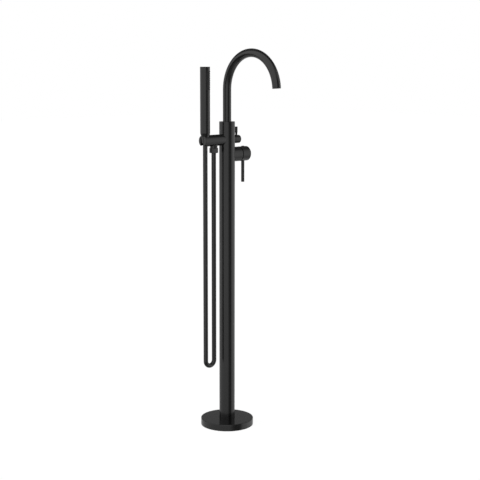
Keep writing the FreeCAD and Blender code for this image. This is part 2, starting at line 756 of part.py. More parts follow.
def stem_pin():
    """Pin on which the stem tilts."""
    pin = body("stem_pin", z=d.mixer_height)
    profile = sketch(pin, "XZ_Plane", -d.pin_long / 2)
    draw_circle(profile, d.pivot_x, 0, d.pin_dia)
    pad(pin, profile, d.pin_long)


def cartridge_stem():
    """Metal stem that the handle is fixed to. It tilts in the turret for the flow."""
    stem = body("cartridge_stem", z=d.mixer_height)
    profile = sketch(stem, "YZ_Plane", d.pivot_x - d.stem_tail)
    half_y, half_z = d.stem_wide / 2, d.stem_tall / 2
    draw(profile, box_corners(-half_y, -half_z, half_y, half_z))
    pad(stem, profile, d.stem_end - d.pivot_x + d.stem_tail)
    drill(stem, "XZ_Plane", d.pivot_x, 0, d.pin_dia + d.fit)
    soften(stem, "Chamfer", d.rod_edge, flat_at("x", d.stem_end))


def handle_cap():
    """Round handle cap, hollow towards the sleeve so that it can tilt over its end."""
    cap = body("handle_cap", z=d.mixer_height)
    corners = [
        (d.cap_start, d.cap_rim_bore / 2),
        (d.cap_start, d.mixer_dia / 2),
        (d.cap_end, d.mixer_dia / 2),
        (d.cap_end, 0),
        (d.cap_floor, 0),
        (d.cap_floor, d.cap_bore / 2),
    ]
    revolve(cap, "H", corners)
    soften(cap, "Fillet", d.cap_edge, flat_at("x", d.cap_end))
    socket = sketch(cap, "YZ_Plane", d.cap_floor)
    half_y, half_z = (d.stem_wide + d.fit) / 2, (d.stem_tall + d.fit) / 2
    draw(socket, box_corners(-half_y, -half_z, half_y, half_z))
    pocket(cap, socket, d.stem_end - d.cap_floor + d.fit)
    drill(cap, "XY_Plane", d.lever_x, 0, d.lever_dia + d.fit, -d.lever_root, d.mixer_dia, forward=False)
    drill(cap, "XY_Plane", d.lever_x, 0, d.grub_dia + d.fit, 0, d.mixer_dia)
    drill(cap, "XY_Plane", d.lever_x, 0, d.index_dia + d.fit, d.index_seat, d.mixer_dia)


def handle_lever():
    """Straight pin lever under the handle cap."""
    lever = body("handle_lever", x=d.lever_x, z=d.mixer_height)
    low = -(d.mixer_dia / 2 + d.lever_reach)
    revolve(lever, "V", box_corners(0, low, d.lever_dia / 2, -(d.lever_root + d.fit)))
    soften(lever, "Chamfer", d.lever_edge, flat_at("z", low))


def handle_screw():
    """Set screw under the index that clamps the handle to the stem."""
    screw = body("handle_screw", x=d.lever_x, z=d.mixer_height)
    outer, key, key_deep, tip = d.grub_dia / 2, 1.25, 3, 0.8
    low = d.stem_tall / 2 + 0.02
    corners = [
        (0, low),
        (outer - tip, low),
        (outer, low + tip),
        (outer, d.grub_top),
        (key, d.grub_top),
        (key, d.grub_top - key_deep),
        (0, d.grub_top - key_deep),
    ]
    revolve(screw, "V", corners)


def index_plug():
    """Hot and cold index that covers the set screw, opposite the lever."""
    plug = body("index_plug", x=d.lever_x, z=d.mixer_height)
    radius, bevel = d.index_dia / 2, 0.6
    low, top = d.index_seat + d.fit / 2, d.mixer_dia / 2 + d.index_proud
    corners = [
        (0, low),
        (radius, low),
        (radius, top - bevel),
        (radius - bevel, top),
        (0, top),
    ]
    revolve(plug, "V", corners)


# ---------------------------------------------------------------- diverter


def diverter_cartridge():
    """Ceramic diverter in the valve body, with the spindle's bearing bore."""
    cartridge = body("diverter_cartridge", z=d.arm_height)
    outer, bearing = d.diverter_dia / 2, d.spindle_bore / 2
    back, end, floor = -d.diverter_back, d.diverter_end, d.spindle_start - d.fit * 2
    corners = [(back, 0), (back, outer), (end, outer), (end, bearing), (floor, bearing), (floor, 0)]
    revolve(cartridge, "H", corners)


def diverter_spindle():
    """Spindle that the knob turns."""
    spindle = body("diverter_spindle", z=d.arm_height)
    revolve(spindle, "H", box_corners(d.spindle_start, 0, d.spindle_end, d.spindle_dia / 2))
    soften(spindle, "Chamfer", d.rod_edge, flat_at("x", d.spindle_end))


def diverter_knob():
    """Round knob on the end of the arm's line."""
    knob = body("diverter_knob", z=d.arm_height)
    bore, outer, floor = (d.spindle_dia + d.fit) / 2, d.knob_dia / 2, d.spindle_end + d.fit
    corners = [
        (d.knob_start, bore),
        (d.knob_start, outer),
        (d.knob_end, outer),
        (d.knob_end, 0),
        (floor, 0),
        (floor, bore),
    ]
    revolve(knob, "H", corners)
    soften(knob, "Fillet", d.knob_edge, flat_at("x", d.knob_end))
    soften(knob, "Chamfer", d.small_edge, rim_at("x", d.knob_start, d.knob_dia))
    drill(knob, "XY_Plane", d.toggle_x, 0, d.toggle_thread + d.fit, d.toggle_foot - d.fit, d.knob_dia)
    drill(knob, "XY_Plane", d.toggle_x, 0, d.toggle_neck + d.fit, d.toggle_seat - d.fit, d.knob_dia)


def diverter_lever():
    """Small pin lever that is screwed into the knob, with a thinner neck."""
    lever = body("diverter_lever", x=d.toggle_x, z=d.arm_height)
    thread, neck, outer = d.toggle_thread / 2, d.toggle_neck / 2, d.toggle_dia / 2
    corners = [
        (0, d.toggle_foot),
        (thread, d.toggle_foot),
        (thread, d.toggle_seat),
        (neck, d.toggle_seat),
        (neck, d.toggle_waist),
        (outer, d.toggle_full),
        (outer, d.toggle_top - d.small_edge),
        (outer - d.small_edge, d.toggle_top),
        (0, d.toggle_top),
    ]
    revolve(lever, "V", corners)


# ---------------------------------------------------------------- cross arm and hose outlet


def seat_corners(spare):
    """Outline of the holder's seat about the hand shower's axis, this much outside nut and hand shower."""
    over = 1  # it runs past the arm below and above
    foot, top = -d.arm_dia / 2 - over, d.arm_dia / 2 + over
    shoulder = d.handset_low - d.arm_height
    nut_slope = (d.cone_top_dia - d.cone_low_dia) / 2 / (d.handset_low - d.cone_low)
    taper_slope = (d.handset_dia - d.handset_neck) / 2 / (d.handset_full - d.handset_low)
    return [
        (d.cone_low_dia / 2 - nut_slope * (d.cone_low - d.arm_height - foot) + spare, foot),
        (d.handset_neck / 2 + spare, shoulder),
        (d.handset_neck / 2 + taper_slope * (top - shoulder) + spare + d.fit, top),
    ]


def cross_arm():
    """The arm: a round bar with a water bore, the seat of the hose outlet and the slotted conical holder."""
    arm = body("cross_arm", x=-d.handset_x, z=d.arm_height)
    nose = d.handset_x - d.arm_end
    revolve(arm, "H", box_corners(nose, 0, d.handset_x, d.arm_dia / 2))
    soften(arm, "Fillet", d.arm_edge, flat_at("x", nose))
    saddle(arm, d.handset_x)
    shank = sketch(arm, "YZ_Plane", d.handset_x - d.valve_dia / 2 - d.fit - d.shank_long)
    draw_circle(shank, 0, 0, d.shank_dia)
    pad(arm, shank, d.shank_long)
    outlet = d.handset_x - d.outlet_x
    drill(arm, "YZ_Plane", 0, 0, d.waterway, outlet, d.column_dia * 2)
    depth = d.arm_height - d.outlet_seat
    drill(arm, "XY_Plane", outlet, 0, d.outlet_collar + d.fit, -depth, d.arm_dia, forward=False)
    drill(arm, "XY_Plane", outlet, 0, d.waterway, 0, d.arm_dia / 2, forward=False)
    seat = seat_corners(d.seat_play + d.liner_skin)
    groove(arm, "V", [(0, seat[0][1]), *seat, (0, seat[-1][1])])
    slot = sketch(arm, "XY_Plane")
    draw(slot, box_corners(-d.arm_dia, -d.slot_wide / 2, 0, d.slot_wide / 2))
    pocket(arm, slot)


def holder_liner():
    """Plastic liner of the conical seat, open at the slot and trimmed to the arm."""
    liner = body("holder_liner", x=-d.handset_x, z=d.arm_height)
    inner = seat_corners(d.seat_play)
    outer = seat_corners(d.seat_play + d.liner_skin - d.fit / 2)
    revolve(liner, "V", [*inner, *reversed(outer)])
    wide = d.arm_dia
    around = sketch(liner, "YZ_Plane")
    draw(around, box_corners(-wide, -wide, wide, wide))
    draw_circle(around, 0, 0, d.arm_dia - d.fit * 2)
    pocket(liner, around)
    slot = sketch(liner, "XY_Plane")
    draw(slot, box_corners(-wide, -d.slot_wide / 2, 0, d.slot_wide / 2))
    pocket(liner, slot)
    beyond = sketch(liner, "XY_Plane")
    draw(beyond, box_corners(-wide, -wide, d.handset_x - d.arm_end + d.small_edge, wide))
    pocket(liner, beyond)


def coupling_levels(start):
    """Undersides of the flange, the washer and the nipple where a hose end lies on a shoulder."""
    flange = start + d.fit / 2
    washer = flange + d.flange_tall
    return flange, washer, washer + d.washer_tall + d.fit / 2


def hose_outlet():
    """Outlet under the arm: a collar in its seat and the nipple that the hose nut is screwed on."""
    outlet = body("hose_outlet", x=-d.outlet_x)
    bore, thread, collar = d.outlet_bore / 2, d.thread_dia / 2, d.outlet_collar / 2
    nipple = coupling_levels(d.hose_start)[-1]
    step, top = d.nut_top + d.fit, d.outlet_seat - d.fit / 2
    corners = [
        (bore, nipple),
        (thread - d.small_edge, nipple),
        (thread, nipple + d.small_edge),
        (thread, step),
        (collar, step),
        (collar, top),
        (bore, top),
    ]
    revolve(outlet, "V", corners)


def outlet_check_valve():
    """Check valve cartridge in the outlet's bore."""
    valve = body("outlet_check_valve", x=-d.outlet_x)
    bore, outer = d.check_bore / 2, (d.outlet_bore - d.fit) / 2
    low = coupling_levels(d.hose_start)[-1] + 1.2
    top = low + d.check_tall
    tip_in, tip_tall = 2, 1.5
    corners = [
        (bore, low),
        (outer, low),
        (outer, top - tip_tall),
        (outer - tip_in, top),
        (bore, top),
    ]
    revolve(valve, "V", corners)


def hose_end(label, x, shoulder):
    """Flanged end fitting of the hose."""
    low = coupling_levels(shoulder)[0]
    ring(label, d.flange_bore, d.thread_dia - d.fit * 4, low, low + d.flange_tall, x=x)


def hose_washer(label, x, shoulder):
    """Flat rubber washer between a hose end and its nipple."""
    low = coupling_levels(shoulder)[1]
    ring(label, d.washer_bore, d.thread_dia - d.fit * 8, low, low + d.washer_tall, x=x)


def hose_nut():
    """Hexagon nut of the hose, bevelled at both ends."""
    blank = doc.addObject("Part::Prism", "NutBlank")
    blank.Polygon = 6
    bind(blank, "Circumradius", d.nut_flats / 2 / math.cos(math.pi / 6))
    bind(blank, "Height", d.nut_top - d.nut_low)
    place(blank, -d.outlet_x, 0, d.nut_low, turn=d.nut_turn)
    shell = doc.addObject("PartDesign::Body", "NutShell")
    place(shell, -d.outlet_x)
    bevel = 1.5  # its height where it reaches the hexagon's corners and beyond
    face, corner = d.nut_flats / 2 - bevel * 0.4, d.nut_flats / 2 + bevel * 1.6
    lip, thread = d.hose_dia / 2 + 0.15, d.thread_dia / 2 + d.fit
    corners = [
        (lip, d.nut_low),
        (face, d.nut_low),
        (corner, d.nut_low + bevel),
        (corner, d.nut_top - bevel),
        (face, d.nut_top),
        (thread, d.nut_top),
        (thread, d.hose_start),
        (lip, d.hose_start),
    ]
    revolve(shell, "V", corners)
    nut = doc.addObject("Part::Common", "Nut")
    nut.Base = blank
    nut.Tool = shell
    doc.recompute()
    keep("hose_nut", nut)


# ---------------------------------------------------------------- hose


def shower_hose():
    """The hose: two straight hanging runs and a narrow loop of tangent arcs."""
    ends = [(-d.outlet_x.value, d.hose_start.value), (-d.handset_x.value, d.hose_end.value)]
    points = [FreeCAD.Vector(x, 0, z) for x, z in (ends[0], *HOSE_LOOP, ends[1])]
    pieces = []
    start = points[0]
    length = 0
    for before, corner, after in zip(points, points[1:], points[2:]):
        inward, outward = (corner - before), (after - corner)
        shorter = min(inward.Length, outward.Length)
        inward.normalize()
        outward.normalize()
        turn = inward.getAngle(outward)
        step = BEND_SHARE * shorter
        radius = step / math.tan(turn / 2)
        arc_start, arc_end = corner - inward * step, corner + outward * step
        towards = (outward - inward).normalize()
        centre = corner + towards * (radius / math.cos(turn / 2))
        middle = centre - towards * radius
        pieces.append(Part.LineSegment(start, arc_start).toShape())
        pieces.append(Part.Arc(arc_start, middle, arc_end).toShape())
        length += (arc_start - start).Length + radius * turn
        print(f"shower_hose: bend radius {radius:.2f}")
        start = arc_end
    pieces.append(Part.LineSegment(start, points[-1]).toShape())
    length += (points[-1] - start).Length
    radius = d.hose_dia.value / 2
    section = Part.Wire(Part.Circle(points[0], FreeCAD.Vector(0, 0, 1), radius).toShape())
    tube = Part.Wire(pieces).makePipeShell([section], True, False)
    expected = math.pi * radius**2 * length
    print(f"shower_hose: length {length:.1f}, volume {tube.Volume:.0f} against {expected:.0f}")
    hose = doc.addObject("Part::Feature", "Hose")
    hose.Shape = tube
    keep("shower_hose", hose)


# ---------------------------------------------------------------- hand shower


def conical_nut():
    """Conical nut of the hose that seats in the holder."""
    nut = body("conical_nut", x=-d.handset_x)
    bore, thread = d.hose_dia / 2 + d.hose_play, d.thread_dia / 2 + d.fit
    foot, shoulder, top = d.cone_low_dia / 2, d.hose_end + d.hose_shoulder, d.handset_low - d.fit
    corners = [
        (bore, d.cone_low),
        (foot - d.small_edge, d.cone_low),
        (foot, d.cone_low + d.small_edge),
        (d.cone_top_dia / 2, top),
        (thread, top),
        (thread, shoulder),
        (bore, shoulder),
    ]
    revolve(nut, "V", corners)


def handset_body():
    """Stick hand shower: a tube with a tapered lower end, its nipple and the window of the spray face."""
    handset = body("handset_body", x=-d.handset_x, turn=d.handset_turn)
    bore, nipple, outer = d.handset_nipple / 2, d.thread_dia / 2, d.handset_dia / 2
    inside = d.handset_bore / 2
    low = coupling_levels(d.hose_end + d.hose_shoulder)[-1]
    funnel = d.handset_full + 3
    top = d.handset_top - d.handset_lid
    corners = [
        (bore, low),
        (nipple, low),
        (nipple, d.handset_low),
        (d.handset_neck / 2, d.handset_low),
        (outer, d.handset_full),
        (outer, top),
        (inside, top),
        (inside, funnel + d.handset_funnel),
        (bore, funnel),
    ]
    revolve(handset, "V", corners)
    window = sketch(handset, "XZ_Plane", d.spray_back)
    half = d.spray_wide / 2
    draw(window, box_corners(-half, d.spray_low, half, d.spray_low + d.spray_tall))
    pocket(handset, window, d.handset_dia)


def handset_cap():
    """End cap of the hand shower."""
    cap = body("handset_cap", x=-d.handset_x)
    plug, outer = (d.handset_bore - d.fit) / 2, d.handset_dia / 2
    seat = d.handset_top - d.handset_lid + d.fit / 2
    corners = [
        (0, seat - d.handset_plug),
        (plug, seat - d.handset_plug),
        (plug, seat),
        (outer, seat),
        (outer, d.handset_top - d.small_edge),
        (outer - d.small_edge, d.handset_top),
        (0, d.handset_top),
    ]
    revolve(cap, "V", corners)


def handset_core():
    """Plastic core that leads the water up to the spray face."""
    core = body("handset_core", x=-d.handset_x, turn=d.handset_turn)
    radius = d.handset_bore / 2 - d.fit
    low = d.handset_full + 3 + d.handset_funnel + d.fit * 2
    high = d.handset_top - d.handset_lid - d.handset_plug - d.fit * 2
    revolve(core, "V", box_corners(d.passage / 2, low, radius, high))
    front = sketch(core, "XZ_Plane", d.spray_back - 0.6)
    draw(front, box_corners(-radius * 2, low - 1, radius * 2, high + 1))
    pocket(core, front, d.handset_bore)


def spray_face():
    """Rubber spray face in its window, with three columns of nozzles."""
    face = body("spray_face", x=-d.handset_x, turn=d.handset_turn)
    play = d.spray_play
    half = d.spray_wide / 2 - play
    back = d.spray_back + 0.02
    side = -math.sqrt(d.spray_radius.value**2 - half.value**2)
    profile = sketch(face, "XY_Plane", d.spray_low + play)
    corners = [(-half, Guess(side)), (half, Guess(side)), (half, -back), (-half, -back)]
    draw(profile, corners, {0: (0, 0, d.spray_radius, True)})
    pad(face, profile, d.spray_tall - play * 2)
    centre = d.spray_low + d.spray_tall / 2
    rows = int(d.nozzle_rows.value)
    for column in (-1, 0, 1):
        count = rows if column else rows - 1
        angle = math.radians(column * d.nozzle_angle.value)
        outward = FreeCAD.Vector(math.sin(angle), -math.cos(angle), 0)
        span = d.nozzle_pitch * (count - 1)
        low = centre - span / 2
        start = d.spray_radius - 0.4
        nozzle = face.newObject("PartDesign::AdditiveCone", "Nozzle")
        bind(nozzle, "Radius1", d.nozzle_root / 2)
        bind(nozzle, "Radius2", d.nozzle_tip / 2)
        bind(nozzle, "Height", d.nozzle_reach - start)
        nozzle.Placement = FreeCAD.Placement(
            outward * start.value + FreeCAD.Vector(0, 0, low.value),
            FreeCAD.Rotation(FreeCAD.Vector(0, 0, 1), outward),
        )
        bind(nozzle, "Placement.Base.z", low)
        added(face, nozzle)
        line = face.newObject("PartDesign::LinearPattern", "Column")
        line.Originals = [nozzle]
        line.Direction = (plane(face, "Z_Axis"), [""])
        bind(line, "Length", span)
        line.Occurrences = count
        face.Tip = line
        added(face, line)


# ---------------------------------------------------------------- spout


def spout_socket():
    """Brass socket in the column's top that the spout turns in."""
    socket = body("spout_socket")
    bore, leg, wide = d.spout_way / 2, d.spout_dia / 2 + d.spout_play, (d.bush_dia + d.fit) / 2
    outer = (d.column_bore - d.wall_play) / 2
    low, high = d.valve_top + d.fit / 2, d.column_top - d.column_lid - d.fit
    seat, floor = d.ring_low - d.fit * 2, d.spout_foot - 0.5
    corners = [
        (bore, low),
        (outer, low),
        (outer, high),
        (wide, high),
        (wide, seat),
        (leg, seat),
        (leg, floor),
        (bore, floor),
    ]
    revolve(socket, "V", corners)


def spout_bush():
    """Plastic bush that guides the spout's leg."""
    bore = d.spout_dia + d.spout_play * 2
    ring("spout_bush", bore, d.bush_dia, d.bush_low, d.column_top - d.column_lid - d.fit * 2)


def spout_retainer():
    """Open ring in a groove of the spout's leg that keeps the spout in its socket."""
    bore, outer = d.spout_dia - d.ring_deep * 2 + d.fit, d.bush_dia - 0.8
    retainer = ring("spout_retainer", bore, outer, d.ring_low, d.ring_low + d.ring_thick)
    gap = sketch(retainer, "XY_Plane")
    draw(gap, box_corners(0, -d.ring_gap / 2, d.bush_dia, d.ring_gap / 2))
    pocket(retainer, gap)


def leg_groove(spout, low, tall, deep):
    """A groove round the spout's leg."""
    outer = d.spout_dia / 2
    groove(spout, "V", box_corners(outer - deep, low, outer + 1, low + tall))


def spout_tube():
    """Swan neck spout: a tube along a straight leg and one long arc, with grooves for seals and ring."""
    spout = body("spout_tube")
    path = sketch(spout, "YZ_Plane")
    foot, spring, radius, bend = d.spout_foot, d.spout_spring, d.spout_radius, d.spout_bend
    leg = Part.LineSegment(FreeCAD.Vector(0, foot.value, 0), FreeCAD.Vector(0, spring.value, 0))
    path.addGeometry(leg, False)
    circle = Part.Circle(
        FreeCAD.Vector(-radius.value, spring.value, 0), FreeCAD.Vector(0, 0, 1), radius.value
    )
    path.addGeometry(Part.ArcOfCircle(circle, 0, math.radians(bend.value)), False)
    path.addConstraint(Sketcher.Constraint("PointOnObject", 0, 1, -2))
    path.addConstraint(Sketcher.Constraint("Vertical", 0))
    path.addConstraint(Sketcher.Constraint("Tangent", 0, 2, 1, 1))
    hold(path, "DistanceY", -1, 1, 0, 1, value=foot)
    hold(path, "DistanceY", -1, 1, 0, 2, value=spring)
    hold(path, "Radius", 1, value=radius)
    index = path.addConstraint(Sketcher.Constraint("Angle", 1, math.radians(bend.value)))
    bind(path, f"Constraints[{index}]", bend * Size(1.0, "1 deg"))
    section = sketch(spout, "XY_Plane", foot)
    draw_circle(section, 0, 0, d.spout_dia)
    draw_circle(section, 0, 0, d.spout_bore)
    pipe = spout.newObject("PartDesign::AdditivePipe", "Neck")
    pipe.Profile = section
    pipe.Spine = path
    added(spout, pipe)
    length = spring.value - foot.value + radius.value * math.radians(bend.value)
    area = math.pi / 4 * (d.spout_dia.value**2 - d.spout_bore.value**2)
    print(f"spout_tube: volume {spout.Shape.Volume:.0f} against {area * length:.0f}")
    for low in (d.lower_seal, d.upper_seal):
        leg_groove(spout, low, d.seal_groove, d.seal_groove_deep)
    leg_groove(spout, d.ring_low - d.fit / 2, d.ring_thick + d.fit, d.ring_deep)


def spout_seal(label, low):
    """Rubber ring in a groove of the spout's leg."""
    bore = d.spout_dia - d.seal_groove_deep * 2 + d.fit
    ring(label, bore, d.spout_dia + 0.04, low + d.fit, low + d.seal_groove - d.fit)


def at_spout_end(thing):
    """Puts a piece that is made about the vertical axis at the spout's end, pointing along the tube."""
    bend = math.radians(d.spout_bend.value)
    cosine = Size(math.cos(bend), f"cos({d.spout_bend.text} * 1 deg)")
    sine = Size(math.sin(bend), f"sin({d.spout_bend.text} * 1 deg)")
    y = (cosine - 1) * d.spout_radius
    z = d.spout_spring + sine * d.spout_radius
    thing.Placement = FreeCAD.Placement(
        FreeCAD.Vector(0, y.value, z.value), FreeCAD.Rotation(FreeCAD.Vector(1, 0, 0), d.spout_bend.value)
    )
    bind(thing, "Placement.Base.y", y)
    bind(thing, "Placement.Base.z", z)
    bind(thing, "Placement.Rotation.Angle", d.spout_bend)


def aerator_ring():
    """Metal ring of the aerator: a rim flush with the spout and a sleeve screwed into it."""
    rim = body("aerator_ring")
    sleeve, outer, bevel = d.spout_bore / 2 - d.fit * 2, d.spout_dia / 2, 0.3
    bore = sleeve - d.aerator_skin
    corners = [
        (bore, -d.aerator_deep),
        (sleeve, -d.aerator_deep),
        (sleeve, d.groove_thin),
        (outer, d.groove_thin),
        (outer, d.aerator_tall - bevel),
        (outer - bevel, d.aerator_tall),
        (bore, d.aerator_tall),
    ]
    revolve(rim, "V", corners)
    at_spout_end(rim)


def aerator_insert():
    """Plastic insert of the aerator with its slots, set back from the rim."""
    insert = body("aerator_insert")
    radius = d.spout_bore / 2 - d.fit * 3 - d.aerator_skin
    face = d.aerator_tall - d.aerator_back
    revolve(insert, "V", box_corners(0, -(d.aerator_deep - 0.5), radius, face))
    half_long, deep = radius - 2.5, 2.5
    for step in range(-2, 3):
        slot = sketch(insert, "XY_Plane", face)
        left, right = d.aerator_pitch * step - d.aerator_slot / 2, d.aerator_pitch * step + d.aerator_slot / 2
        draw(slot, box_corners(left, -half_long, right, half_long))
        pocket(insert, slot, deep, forward=False)
    at_spout_end(insert)


MAKERS = [
    floor_plate,
    base_cover,
    base_seal,
    column_set_screws,
    column_tube,
    lambda: inlet("hot_inlet", -1),
    lambda: inlet("cold_inlet", 1),
    lambda: riser("hot_riser", -1),
    lambda: riser("cold_riser", 1),
    lambda: pipe_spacer("lower_pipe_spacer", 0),
    lambda: pipe_spacer("upper_pipe_spacer", 1),
    valve_body,
    mixer_sleeve,
    mixer_cartridge,
    cartridge_nut,
    mixer_bonnet,
    cartridge_turret,
    stem_pin,
    cartridge_stem,
    handle_cap,
    handle_lever,
    handle_screw,
    index_plug,
    diverter_cartridge,
    diverter_spindle,
    diverter_knob,
    diverter_lever,
    cross_arm,
    holder_liner,
    hose_outlet,
    outlet_check_valve,
    lambda: hose_end("hose_end_outlet", -d.outlet_x, d.hose_start),
    lambda: hose_washer("outlet_washer", -d.outlet_x, d.hose_start),
    hose_nut,
    shower_hose,
    conical_nut,
    lambda: hose_end("hose_end_handset", -d.handset_x, d.hose_end + d.hose_shoulder),
    lambda: hose_washer("handset_washer", -d.handset_x, d.hose_end + d.hose_shoulder),
    handset_body,
    handset_cap,
    handset_core,
    spray_face,
    spout_socket,
    spout_bush,
    spout_retainer,
    spout_tube,
    lambda: spout_seal("lower_spout_seal", d.lower_seal),
    lambda: spout_seal("upper_spout_seal", d.upper_seal),
    aerator_ring,
    aerator_insert,
]


def check_and_export():
    """Stops on a failed feature or a bad shape, and writes one file for each sub-part."""
    doc.recompute()
    failed = [o.Name for o in doc.Objects if {"Invalid", "Error"} & set(o.State)]
    if failed:
        raise RuntimeError(f"failed objects: {failed}")
    os.makedirs("parts", exist_ok=True)
    for label, thing in SUBPARTS.items():
        shape = thing.Shape
        if shape.isNull() or not shape.isValid() or not shape.Solids:
            raise RuntimeError(f"{label} has no valid solid")
        shape.exportStep(f"parts/{label}.step")
    print(f"{len(SUBPARTS)} sub-parts written")


for make in MAKERS:
    make()
check_and_export()
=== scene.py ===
"""Looks of the floor standing bath filler: its finishes, its hose, a pale studio and the photograph's camera.

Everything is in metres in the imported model's frame. Sizes of the model come from the frame; places that are
the photograph's own, such as the camera's, are named below.
"""

import json
import math

import bmesh
import bpy
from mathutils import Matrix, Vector


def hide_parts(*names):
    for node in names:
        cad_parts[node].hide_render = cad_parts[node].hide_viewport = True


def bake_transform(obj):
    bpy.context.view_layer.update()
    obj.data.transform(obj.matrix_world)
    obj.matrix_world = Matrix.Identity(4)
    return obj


MM = 0.001

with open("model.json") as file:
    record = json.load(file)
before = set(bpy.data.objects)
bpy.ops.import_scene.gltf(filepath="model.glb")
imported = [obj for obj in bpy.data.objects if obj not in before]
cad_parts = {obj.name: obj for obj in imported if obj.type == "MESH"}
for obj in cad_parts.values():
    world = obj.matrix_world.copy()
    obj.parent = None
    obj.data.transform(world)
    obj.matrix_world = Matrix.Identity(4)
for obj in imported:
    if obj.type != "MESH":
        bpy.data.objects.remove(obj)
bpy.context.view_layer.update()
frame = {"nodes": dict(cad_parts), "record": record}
NODES = frame["nodes"]

# ---------------------------------------------------------------- camera

IMAGE_WIDE = 480  # the photograph's width and height in pixels
SENSOR = 36.0  # millimetres, Blender's own
FOCAL_PIXELS = 1154.4  # focal length of the fitted camera
CENTRE_PIXEL = 227.655  # column of the image that the camera points at
CAMERA_TURN = math.radians(-40.94)  # camera's place round the column, from the front
CAMERA_AIM = math.radians(-40.97)  # the way it looks
CAMERA_PITCH = math.radians(9.18)  # below the horizon
CAMERA_AWAY = 3503.3 * MM
CAMERA_HIGH = 1151.2 * MM
CAMERA_REACH = 60  # farther than the floor's far edge

TOWARDS_CAMERA = Vector((math.sin(CAMERA_TURN), -math.cos(CAMERA_TURN), 0))


def make_camera():
    """The camera that was fitted to the photograph."""
    data = bpy.data.cameras.new("camera")
    data.sensor_width = SENSOR
    data.lens = FOCAL_PIXELS / IMAGE_WIDE * SENSOR
    data.shift_x = (IMAGE_WIDE / 2 - CENTRE_PIXEL) / IMAGE_WIDE
    data.clip_end = CAMERA_REACH
    camera = bpy.data.objects.new("camera", data)
    camera.location = TOWARDS_CAMERA * CAMERA_AWAY + Vector((0, 0, CAMERA_HIGH))
    camera.rotation_euler = (math.pi / 2 - CAMERA_PITCH, 0, CAMERA_AIM)
    bpy.context.scene.collection.objects.link(camera)
    bpy.context.scene.camera = camera


# ---------------------------------------------------------------- node helpers


def add_node(tree, kind, inputs=None, **settings):
    """A shader node with its settings and its inputs, which are numbers, colours or other nodes' outputs."""
    node = tree.nodes.new(f"ShaderNode{kind}")
    for name, value in settings.items():
        setattr(node, name, value)
    for name, value in (inputs or {}).items():
        socket = node.inputs[name]
        if isinstance(value, bpy.types.NodeSocket):
            tree.links.new(value, socket)
        else:
            socket.default_value = value
    return node


def grey(level):
    """A colour without hue."""
    return (level, level, level, 1)


def calculate(tree, operation, *values):
    """The result of a Math node."""
    return add_node(tree, "Math", dict(enumerate(values)), operation=operation).outputs["Value"]


def mix_colours(tree, share, first, second):
    """The first colour, with a share of the second from 0 to 1."""
    return add_node(tree, "MixRGB", {"Fac": share, "Color1": first, "Color2": second}).outputs["Color"]


def show_surface(tree, shader, kind="Material"):
    """Links a shader node to the output of its material or world."""
    add_node(tree, f"Output{kind}", {"Surface": shader.outputs[0]})


def mix_shaders(tree, share, first, second):
    """The first shader node's surface, with a share of the second's from 0 to 1."""
    return add_node(tree, "MixShader", {0: share, 1: first.outputs[0], 2: second.outputs[0]})


def carry_over(tree, value, old=(0, 1), new=(0, 1), smooth=False):
    """A value carried over from one range to another, evenly or softly."""
    ends = {"From Min": old[0], "From Max": old[1], "To Min": new[0], "To Max": new[1]}
    way = "SMOOTHSTEP" if smooth else "LINEAR"
    return add_node(tree, "MapRange", {"Value": value, **ends}, interpolation_type=way).outputs["Result"]


def noise(tree, scale, detail):
    """Noise in the object's own coordinates, with its scale in repeats per metre."""
    place = add_node(tree, "TexCoord").outputs["Object"]
    return add_node(tree, "TexNoise", {"Vector": place, "Scale": scale, "Detail": detail}).outputs["Fac"]


def bump(tree, height, strength, distance):
    """The surface's direction, made uneven by a height."""
    inputs = {"Height": height, "Strength": strength, "Distance": distance}
    return add_node(tree, "Bump", inputs).outputs["Normal"]


# ---------------------------------------------------------------- materials


def new_material(name):
    """A material with nothing in it, and its node tree."""
    material = bpy.data.materials.new(name)
    material.use_nodes = True
    material.node_tree.nodes.clear()
    return material, material.node_tree


def coat(tree, colour, roughness, **inputs):
    """A Principled surface, with its other inputs given by their names."""
    inputs |= {"Base Color": colour, "Roughness": roughness}
    show_surface(tree, add_node(tree, "BsdfPrincipled", inputs))


def satin_black():
    """Black coated metal: almost no colour of its own, a smooth satin sheen and a very fine grain."""
    material, tree = new_material("satin_black")
    patches = noise(tree, 35, detail=3)
    grain = noise(tree, 2600, detail=2)
    colour = mix_colours(tree, patches, grey(0.0045), grey(0.0065))
    roughness = carry_over(tree, patches, new=(0.18, 0.22))
    coat(tree, colour, roughness, IOR=1.5, Normal=bump(tree, grain, 0.08, 0.03 * MM))
    return material


WAVE_BANDS = 10  # the Wave node's diagonal bands have this many radians to a unit


def hose_sheath():
    """Smooth black hose: under its sheath the spiral that keeps it open shows very faintly."""
    material, tree = new_material("hose_sheath")
    cloud = noise(tree, 60, detail=3)
    place = add_node(tree, "TexCoord").outputs["UV"]
    one_start = {"Vector": place, "Scale": math.tau / WAVE_BANDS}
    spiral = add_node(tree, "TexWave", one_start, bands_direction="DIAGONAL").outputs["Fac"]
    colour = mix_colours(tree, cloud, grey(0.005), grey(0.0075))
    roughness = carry_over(tree, cloud, new=(0.19, 0.24))
    coat(tree, colour, roughness, Normal=bump(tree, spiral, 0.3, 0.1 * MM))
    return material


CLOUD_SIZE = 12  # the clouds in a plain finish are this many times the size of its grain
CLOUD_SHADE = 0.12  # and this much darker at most
ROUGHNESS_SPREAD = 0.15


